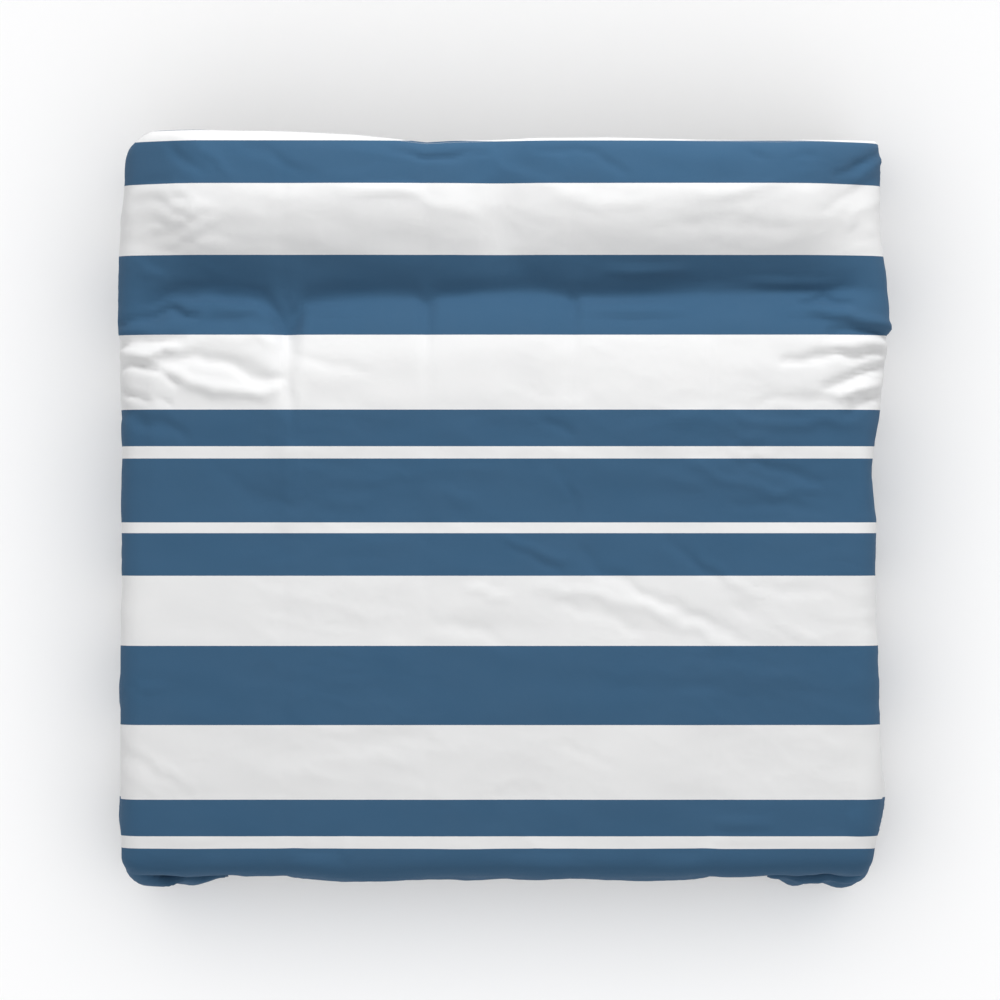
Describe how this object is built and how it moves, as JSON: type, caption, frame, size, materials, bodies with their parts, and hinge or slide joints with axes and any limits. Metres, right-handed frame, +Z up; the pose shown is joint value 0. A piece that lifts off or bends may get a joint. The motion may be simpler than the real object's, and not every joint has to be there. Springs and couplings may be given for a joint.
{
  "type": "duvet on a bed",
  "caption": "King-size duvet draped over a bed: striped zip-up cover with a box-stitched insert tied into its corners, humped over pillows at the head end.",
  "frame": {"origin": "middle of the mattress top, on the underside of the cover's back panel", "axes": "+X to the right seen from above with the head end at the top, +Y to the head end, +Z up"},
  "size_m": [2.002, 1.9726, 0.5238],
  "materials": {
    "printed_cotton": "matt cotton, printed blue and white stripes",
    "white_cotton": "matt cotton",
    "casing_cotton": "fine down-proof cotton",
    "wadding": "soft fibre filling",
    "twill_tape": "woven cotton tape",
    "label_satin": "satin ribbon, blank",
    "zip_tape": "woven zip tape",
    "zip_nylon": "semi-gloss",
    "zip_metal": "nickel plated"
  },
  "bodies": {
    "duvet": {"cover_face": "printed_cotton", "cover_back": "white_cotton", "insert_face": "casing_cotton", "insert_back": "casing_cotton", "insert_binding": "casing_cotton", "care_label": "label_satin", "zip_tape_face": "zip_tape", "zip_tape_back": "zip_tape", "zip_coil_face": "zip_nylon", "zip_coil_back": "zip_nylon", "zip_stop_left": "zip_metal", "zip_stop_right": "zip_metal", "fill_r1_c1": "wadding", "fill_r1_c2": "wadding", "fill_r1_c3": "wadding", "fill_r1_c4": "wadding", "fill_r1_c5": "wadding", "fill_r1_c6": "wadding", "fill_r1_c7": "wadding", "fill_r2_c1": "wadding", "fill_r2_c2": "wadding", "fill_r2_c3": "wadding", "fill_r2_c4": "wadding", "fill_r2_c5": "wadding", "fill_r2_c6": "wadding", "fill_r2_c7": "wadding", "fill_r3_c1": "wadding", "fill_r3_c2": "wadding", "fill_r3_c3": "wadding", "fill_r3_c4": "wadding", "fill_r3_c5": "wadding", "fill_r3_c6": "wadding", "fill_r3_c7": "wadding", "fill_r4_c1": "wadding", "fill_r4_c2": "wadding", "fill_r4_c3": "wadding", "fill_r4_c4": "wadding", "fill_r4_c5": "wadding", "fill_r4_c6": "wadding", "fill_r4_c7": "wadding", "fill_r5_c1": "wadding", "fill_r5_c2": "wadding", "fill_r5_c3": "wadding", "fill_r5_c4": "wadding", "fill_r5_c5": "wadding", "fill_r5_c6": "wadding", "fill_r5_c7": "wadding", "tie_head_left": "twill_tape", "tie_head_right": "twill_tape", "tie_foot_left": "twill_tape", "tie_foot_right": "twill_tape", "loop_head_left": "twill_tape", "loop_head_right": "twill_tape", "loop_foot_left": "twill_tape", "loop_foot_right": "twill_tape"},
    "slider": {"zip_slider": "zip_metal"},
    "pull": {"zip_pull": "zip_metal"}
  },
  "joints": [
    {"name": "zip_slide", "type": "slide", "parent": "duvet", "child": "slider", "axis": [1, 0, 0], "range_m": [-1.574, 0]},
    {"name": "pull_swing", "type": "hinge", "parent": "slider", "child": "pull", "pos_m": [0.787, -1.066, -0.25975], "axis": [0, 1, 0], "range_deg": [-85, 85]}
  ]
}
